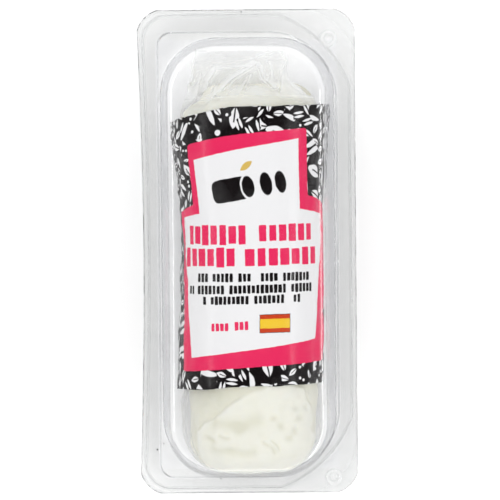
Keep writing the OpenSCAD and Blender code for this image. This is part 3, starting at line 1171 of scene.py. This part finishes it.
@dataclass
class PrintedBand:
    """The printed sleeve round the log: flared at the tail end, fluted and creased along its sides."""

    cheese: Cheese
    length: float = 70.0
    start: float = 22.8
    room: float = 0.5
    thickness: float = 0.14
    flare: float = 2.5
    left_flare: float = 0.6
    foot_flare: float = 1.5
    slip: float = 3.6
    foot_slip: float = 0.85
    skew: float = math.radians(1.2)
    skew_share: float = 0.8
    around: int = 332
    along: int = 138

    def arc(self, points: Array) -> Array:
        """Distance round each ring from its top middle, in millimetres: to the right is positive."""
        step = np.linalg.norm(np.diff(points[..., [0, 2]], axis=1, append=points[:, :1, [0, 2]]), axis=-1)
        total = np.concatenate([np.zeros((len(points), 1)), np.cumsum(step, 1)], 1)
        quarter = self.around // 4
        return total[:, quarter : quarter + 1] - total

    def face(self, grow: float) -> Array:
        """Rings of one face of the sleeve, standing off the log by its room and grow."""
        c = self.cheese
        u = np.linspace(0, 1, self.along)[:, None]
        turn = circle(self.around)
        s = (self.start + self.length * u) / c.length
        flare = ease(u, 0.55, 1.05)
        across = squared(np.cos(turn), c.square)
        up = squared(np.sin(turn), c.square)
        centre = (1 - flare) * c.centre(s) + flare * c.side
        left = np.maximum(0, -across)
        foot = self.foot_flare * (1 - ease(u, -0.1, 0.5))
        half = c.log_w / 2 + self.room + grow + self.flare * flare + left * (foot - self.left_flare * flare)
        slip = self.slip * left**2 * ease(u, 0.7, 1) + self.foot_slip * left * (1 - ease(u, 0, 0.1))
        turned = across * half * math.sin(self.skew) * self.skew_share
        y = c.box[0][1] + self.start + self.length * u - slip + turned
        height = c.mid + (c.log_h / 2 + self.room + grow) * up
        points = places(centre + half * across, y, height)
        flutes = np.abs(np.cos(turn)) ** 3
        dent = flutes * (0.34 * crumple(points * [0.5, 0.35, 1.0], 5.2, 41) + 0.12 * crumple(points, 2.4, 42))
        dent = dent + 0.05 * waves(points, 12, 43)
        lip = 0.14 * waves(points * [1.0, 0.0, 1.0], 7, 44) * (ease(u, 0.93, 1) + 1 - ease(u, 0, 0.07))
        points[..., 0] -= dent * across
        points[..., 2] -= dent * up * 0.5
        points[..., 1] += lip - 0.15
        return points

    def build(self) -> None:
        """Makes the sleeve as one closed sheet with its print coordinates."""
        outer, inner = self.face(self.thickness), self.face(0.0)
        arc = np.concatenate([self.arc(outer), self.arc(inner)[::-1]])
        v = (np.linspace(0, 1, self.along) - 0.5) * self.length
        down = np.concatenate([v, v[::-1]])[:, None] * np.ones((1, self.around + 1))
        uv = np.stack([arc, down], -1)
        uv = np.concatenate([uv, uv[:1]])
        points = np.concatenate([outer, inner[::-1]])
        sleeve = make_piece(
            "printed_sleeve", points, Wrap.BOTH, BandPrint().material("band_print"),
            uv=uv / PRINT_UNIT,
        )
        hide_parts("printed_band")


def four_sided(place: Wire, corners: Corners, round_by: float) -> Wire:
    """Distance into a four-sided field: the least of the distances to its sides, rounded off."""
    sides = []
    for a, b in zip(corners, corners[1:] + corners[:1]):
        run = np.array([b[0] - a[0], b[1] - a[1]])
        inward = np.array([-run[1], run[0]]) / np.hypot(*run)
        sides.append(place.dot((inward[0], inward[1], -(inward @ np.array(a)))))
    return reduce(lambda least, side: least.at_most(side, round_by), sides)


def joined(place: Wire, fields: tuple[Corners, ...], round_by: float) -> Wire:
    """Distance into several four-sided fields joined: the most of theirs, rounded where they meet."""
    parts = [four_sided(place, corners, round_by) for corners in fields]
    return reduce(lambda most, part: most.at_least(part, round_by / 2), parts)


def ellipse(place: Wire, centre: Point, radii: Point, turn: float) -> Wire:
    """Rough distance into a turned ellipse: (1 - the length of the scaled place) x the short radius."""
    c, s = math.cos(turn), math.sin(turn)
    local = place.seen_from((*centre, 1.0))
    x = local.dot((c / radii[0], s / radii[0], 0.0))
    y = local.dot((-s / radii[1], c / radii[1], 0.0))
    return (1.0 - place.tree.join(x, y).length()) * min(radii)


def lens(x: Wire, y: Wire, half_w: Value, half_l: Value) -> Wire:
    """Distance into a leaf: half_w (1 - (y / half_l)^2) less the size of x."""
    share = y / half_l
    return (1.0 - share * share) * half_w - abs(x)


def draw_blocks(tree: Tree, given: dict[str, Wire]) -> Wire:
    """Mask of a row of upright round-cornered blocks, some left out, of uneven height."""
    local = given["Place"].seen_from(given["Start"])
    along = local.dot(given["Along"])
    ax, ay, _ = given["Along"].parts()
    across = local.dot(tree.join(ay * -1.0, ax))
    cell = tree.math("FLOOR", along / given["Pitch"])
    one, two, three = tree.draw(tree.join(cell, given["Seed"]))
    middle = (cell + 0.5) * given["Pitch"]
    half_w = given["Pitch"] * one.span(0.0, 1.0, 0.33, 0.42)
    half_h = given["Height"] * two.span(0.0, 1.0, 0.42, 0.5)
    inside = (half_w - abs(along - middle)).at_most(half_h - abs(across), 0.35)
    ends = (middle - half_w).at_most(given["Length"] - (middle + half_w * 0.7))
    kept = tree.math("GREATER_THAN", ends, 0.0) * tree.math("GREATER_THAN", three, given["Gaps"])
    return inside.span(-0.06, 0.06) * kept


def draw_leaves(tree: Tree, given: dict[str, Wire]) -> Wire:
    """Mask of scattered shapes, one to a cell, each turned and sized by its own draw.

    The draw picks a leaf with a cut midrib, a pair of slim leaves, or a cluster of dots.
    """
    grid = tree.wire("VectorMath", {0: given["Place"], "Scale": 1.0 / given["Pitch"]}, operation="SCALE")
    gx, gy, _ = grid.parts()
    odd = tree.math("MODULO", tree.math("FLOOR", gy), 2.0)
    flat = tree.join(gx + odd * 0.5, gy)
    cell = tree.vector("FLOOR", flat)
    one, two, three = tree.draw(cell)
    local = flat.seen_from(cell).seen_from((0.5, 0.5, 0.0))
    turned = tree.wire("VectorRotate", {"Vector": local, "Angle": one * 6.283}, rotation_type="Z_AXIS")
    x, y, _ = turned.parts()
    size = two.span(0.0, 1.0, 0.46, 0.60)
    rib = (abs(x) - 0.035).at_least(y - 0.2)
    leaf = lens(x, y, size * 0.46, size).at_most(rib)
    slim = lens(abs(x) - 0.17, y, 0.115, size)
    dots = 0.13 - tree.join(x, abs(y) - 0.2).length()
    shape = tree.pick(tree.math("LESS_THAN", three, 0.82), dots, slim)
    shape = tree.pick(tree.math("LESS_THAN", three, 0.5), shape, leaf)
    return shape.span(-0.014, 0.014)


@dataclass(frozen=True)
class BlockRow:
    """A row of upright blocks: where it starts and ends, how wide its pitch is, and its gaps."""

    start: Point
    end: Point
    height: float
    pitch: float
    gaps: float = 0.0
    seed: float = 0.0

    def mask(self, place: Wire, group: bpy.types.NodeTree) -> Wire:
        """Where the row's blocks are."""
        run = np.array(self.end) - np.array(self.start)
        length = float(np.hypot(*run))
        sizes = {key.title(): getattr(self, key) for key in ("height", "pitch", "gaps", "seed")}
        ends = {"Start": (*self.start, 0), "Along": (*(run / length), 0), "Length": length}
        return place.tree.wire("Group", {"Place": place, **ends, **sizes}, node_tree=group)


@dataclass(frozen=True)
class BandPrint(Finish):
    """The band's print: leaves and ticks on black, and a pink-framed white panel with plain shapes.

    Places on it are in millimetres, from the top middle line of the sleeve and its half length.
    """

    black: Colour = (0.006, 0.0045, 0.005, 1)
    white: Colour = (0.735, 0.73, 0.74, 1)
    pink: Colour = (0.69, 0.020, 0.096, 1)
    red: Colour = (0.50, 0.045, 0.010, 1)
    yellow: Colour = (0.76, 0.49, 0.030, 1)
    gold: Colour = (0.58, 0.40, 0.10, 1)
    frame: tuple[Corners, ...] = (
        ((-15.8, 4.0), (15.2, 4.0), (15.3, 29.3), (-16.7, 27.2)),
        ((-20.8, -31.0), (25.2, -29.2), (27.5, 9.2), (-23.4, 8.8)),
        ((0.0, 2.0), (27.4, 9.2), (15.1, 12.6), (0.0, 12.0)),
        ((-23.3, 8.7), (0.0, 2.0), (0.0, 11.0), (-15.9, 10.8)),
    )
    panel: tuple[Corners, ...] = (
        ((-13.6, 2.0), (12.4, 2.0), (12.8, 26.7), (-14.8, 22.6)),
        ((-17.0, -27.8), (17.7, -23.7), (22.0, 7.6), (-21.8, 7.4)),
        ((0.0, 2.0), (22.0, 7.5), (12.4, 9.1), (0.0, 9.0)),
        ((-21.8, 7.3), (0.0, 2.0), (0.0, 9.0), (-13.5, 8.5)),
    )
    titles: tuple[BlockRow, ...] = (
        BlockRow((-18.5, 3.1), (-1.2, 3.0), 5.2, 2.45, seed=1.0),
        BlockRow((1.3, 3.3), (16.6, 3.3), 4.6, 2.55, seed=2.0),
        BlockRow((-20.2, -2.5), (-4.0, -2.6), 5.0, 2.66, seed=3.0),
        BlockRow((-2.2, -2.7), (18.6, -2.7), 4.5, 2.95, seed=4.0),
    )
    notes: tuple[BlockRow, ...] = (
        BlockRow((-16.1, -7.6), (15.3, -7.8), 2.3, 1.12, 0.17, 5.0),
        BlockRow((-18.4, -10.7), (17.7, -10.6), 2.3, 1.12, 0.15, 6.0),
        BlockRow((-13.3, -13.4), (13.2, -13.2), 2.2, 1.12, 0.18, 7.0),
    )
    weight: tuple[BlockRow, ...] = (
        BlockRow((-10.9, -20.1), (-6.1, -20.0), 2.2, 1.2, seed=8.0),
        BlockRow((-4.8, -19.8), (-1.0, -19.7), 2.3, 1.26, seed=9.0),
    )
    stripes: tuple[Point, Point] = ((1.6, -21.7), (9.5, -17.0))
    stripe_line: float = 0.14
    log: Corners = ((-9.4, 10.6), (0.0, 12.1), (-0.9, 17.9), (-10.2, 16.4))
    log_round: float = 3.0
    log_tilt: float = math.radians(9)
    leaf_at: Point = (-0.9, 20.2)
    leaf_size: Point = (0.8, 1.9)
    leaf_turn: float = -0.9
    frame_round: float = 1.4
    soft: float = 0.07
    wobble: float = 0.22

    def ground(self, place: Wire) -> Wire:
        """Black sprinkled with white shapes, which are large in some stretches and small in the others."""
        tree = place.tree
        group = new_group("scattered_leaves", ("Place",), ("Pitch",), draw_leaves)

        def layer(pitch: float, shift: Place, turn: float) -> Wire:
            """One size of scattered shapes."""
            moved = tree.wire("Mapping", {"Vector": place, "Location": shift, "Rotation": (0, 0, turn)})
            return tree.wire("Group", {"Place": moved, "Pitch": pitch}, node_tree=group)

        large = layer(5.6, (3.1, 1.7, 0.0), 0.35)
        small = layer(2.9, (0.4, 2.3, 0.0), -0.5)
        picked = tree.math("GREATER_THAN", tree.noise(place, 0.16, 0), 0.5)
        return tree.blend(tree.pick(picked, large, small), self.black, self.white)

    def emblem(self, place: Wire) -> Wire:
        """Distance into a plain log with two slices cut from it, whose cut face has a thin outline."""
        face = ellipse(place, (-0.6, 15.0), (1.75, 3.0), self.log_tilt)
        body = four_sided(place, self.log, self.log_round).at_least(face).at_most(abs(face) - 0.2)
        first = ellipse(place, (3.9, 15.6), (1.5, 2.9), self.log_tilt)
        second = ellipse(place, (7.6, 16.0), (1.4, 2.8), self.log_tilt)
        return body.at_least(first.at_least(second))

    def leaf(self, place: Wire) -> Wire:
        """Distance into the small leaf over the log."""
        c, s = math.cos(self.leaf_turn), math.sin(self.leaf_turn)
        local = place.seen_from((*self.leaf_at, 1.0))
        return lens(local.dot((c, s, 0.0)), local.dot((-s, c, 0.0)), *self.leaf_size)

    def inks(self, place: Wire) -> list[tuple[Wire, Wire | Colour]]:
        """What is laid over the ground, in order: the mask and the colour of each."""
        (x0, y0), (x1, y1) = self.stripes
        flag = four_sided(place, ((x0, y0), (x1, y0), (x1, y1), (x0, y1)), 0)
        off = abs(place.parts()[1] - (y0 + y1) / 2)
        inner = place.tree.math("LESS_THAN", off, (y1 - y0) / 4)
        numbers = ("Length", "Height", "Pitch", "Gaps", "Seed")
        group = new_group("block_row", ("Place", "Start", "Along"), numbers, draw_blocks)

        def edge(distance: Wire) -> Wire:
            """Mask from a distance: 1 inside, and soft over a few hundredths of a millimetre."""
            return distance.span(-self.soft, self.soft)

        def rows(rows: tuple[BlockRow, ...]) -> Wire:
            """Mask of several rows of blocks."""
            return reduce(Wire.at_least, [row.mask(place, group) for row in rows])

        return [
            (edge(joined(place, self.frame, self.frame_round)), self.pink),
            (edge(joined(place, self.panel, 0)), self.white),
            (rows(self.titles + self.weight), self.pink),
            (rows(self.notes), self.black),
            (edge(self.emblem(place)), self.black),
            (edge(self.leaf(place)), self.gold),
            (edge(flag), self.black),
            (edge(flag - self.stripe_line), place.tree.blend(inner, self.red, self.yellow)),
        ]

    def shader(self, tree: Tree) -> Wire:
        """Satin film, whose colour is laid down field by field, with fine creases."""
        uv = tree.wire("UVMap", uv_map="print")
        place = tree.vector("ADD", uv.scaled((PRINT_UNIT, PRINT_UNIT, 0.0)), (0.0, 0.0, 1.0))
        stray = tree.wire("TexNoise", {"Vector": place, "Scale": 0.9, "Detail": 1.0}, "Color")
        stray = stray.seen_from((0.5, 0.5, 0.5)).scaled((self.wobble, self.wobble, 0.0))
        place = tree.vector("ADD", place, stray)
        colour = self.ground(place)
        for mask, ink in self.inks(place):
            colour = tree.blend(mask, colour, ink)
        where = tree.place()
        crease = tree.noise(where.scaled((1.0, 0.3, 1.0)), 420, 3, 0.6)
        cloud = tree.noise(where, 120, 3)
        return tree.coat({
            "Base Color": tree.blend(cloud.span(0.5, 0.85, 0.0, 0.035), colour, self.white),
            "Roughness": cloud.span(0.3, 0.7, 0.17, 0.26),
            "IOR": 1.33,
            "Normal": tree.bump(crease, 0.25, 0.00018),
        })


# ---------------------------------------------------------------- studio


@dataclass(frozen=True)
class Studio:
    """Camera over the pack, a pale floor, and soft light from the sides and from above."""

    distance: float = 1.04
    seen: float = 0.1292
    tilt: float = math.radians(2.25)
    sideways: float = math.radians(0.6)
    roll: float = math.radians(-0.5)
    aim: Place = (0.00065, 0.00044, 0.0006)
    strips: tuple[tuple[str, Place, Point, float], ...] = (
        ("lamp_right", (0.74, -0.32, 0.70), (0.9, 0.16), 2.1),
        ("lamp_left", (-0.76, 0.24, 0.68), (0.9, 0.16), 1.9),
        ("lamp_head", (0.12, 0.82, 0.66), (0.6, 0.16), 0.7),
        ("lamp_foot", (-0.10, -0.82, 0.66), (0.6, 0.16), 0.7),
    )

    @staticmethod
    def stand(thing: bpy.types.Object, right: Array, up: Array, back: Array, place: Array) -> None:
        """Puts a camera or lamp at a place, looking away from back, and adds it to the scene."""
        matrix = np.eye(4)
        matrix[:3, 0], matrix[:3, 1], matrix[:3, 2], matrix[:3, 3] = right, up, back, place
        thing.matrix_world = Matrix(matrix.tolist())
        bpy.context.scene.collection.objects.link(thing)

    def camera(self) -> None:
        """A long lens, nearly straight above."""
        data = bpy.data.cameras.new("camera")
        data.sensor_width = 36.0
        data.lens = data.sensor_width * self.distance / self.seen
        data.clip_start, data.clip_end = 0.01, 50
        camera = bpy.data.objects.new("camera", data)
        back = np.array([math.sin(self.sideways), math.sin(self.tilt), 0.0])
        back[2] = math.sqrt(1 - back @ back)
        right = np.cross([0.0, 1.0, 0.0], back)
        right /= np.linalg.norm(right)
        up = np.cross(back, right)
        c, s = math.cos(self.roll), math.sin(self.roll)
        right, up = c * right + s * up, -s * right + c * up
        self.stand(camera, right, up, back, np.array(self.aim) + back * self.distance)
        bpy.context.scene.camera = camera

    def lamp(self, name: str, place: Place, size: Point, power: float, glints: bool = True) -> None:
        """A soft lamp that faces the pack, its long side level.

        Args:
            name: The lamp's name.
            place: Where it stands, in metres.
            size: Its long and short side.
            power: Its power in watts.
            glints: Whether shiny surfaces mirror it.
        """
        data = bpy.data.lights.new(name, "AREA")
        data.shape, data.energy = "RECTANGLE", power
        data.size, data.size_y = size
        lamp = bpy.data.objects.new(name, data)
        away = np.array(place, float)
        back = away / np.linalg.norm(away)
        right = np.cross([0.0, 0.0, 1.0], back)
        right /= np.linalg.norm(right)
        self.stand(lamp, right, np.cross(back, right), back, away)
        lamp.visible_glossy = lamp.visible_transmission = glints

    def sky(self) -> None:
        """A pale surround, bright near the horizon and dim straight above."""
        world = bpy.data.worlds.new("studio")
        bpy.context.scene.world = world
        world.use_nodes = True
        world.node_tree.nodes.clear()
        tree = Tree(world.node_tree)
        up = tree.wire("TexCoord", output="Generated").parts()[2]
        ramp = tree.wire("ValToRGB", {0: up})
        stops = ramp.socket.node.color_ramp.elements
        stops[0].position, stops[0].color = 0.0, (1.0, 1.0, 1.0, 1)
        stops[1].position, stops[1].color = 0.88, (0.015, 0.015, 0.015, 1)
        middle = stops.new(0.72)
        middle.color = (1.0, 1.0, 1.0, 1)
        tree.node("OutputWorld", {0: tree.wire("Background", {"Color": ramp, "Strength": 0.78})})

    def build(self) -> None:
        """Sets camera, floor and light."""
        self.camera()
        Floor().build()
        self.sky()
        for name, place, size, power in self.strips:
            self.lamp(name, place, size, power)
        self.lamp("lamp_above", (0.02, -0.02, 1.6), (1.5, 1.5), 17.0, glints=False)
        bpy.context.scene.view_settings.view_transform = "Standard"


def main() -> None:
    """Builds the studio and the object piece by piece, and logs each piece's face count."""
    logging.basicConfig(level=logging.INFO, format="%(message)s")
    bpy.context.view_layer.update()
    Studio().build()
    cheese = Cheese()
    cheese.build()
    FilmWrap(cheese).build()
    PrintedBand(cheese).build()
    ClearPack(ClearSheet().material("clear_sheet")).build()


if __name__ == "__main__":
    main()
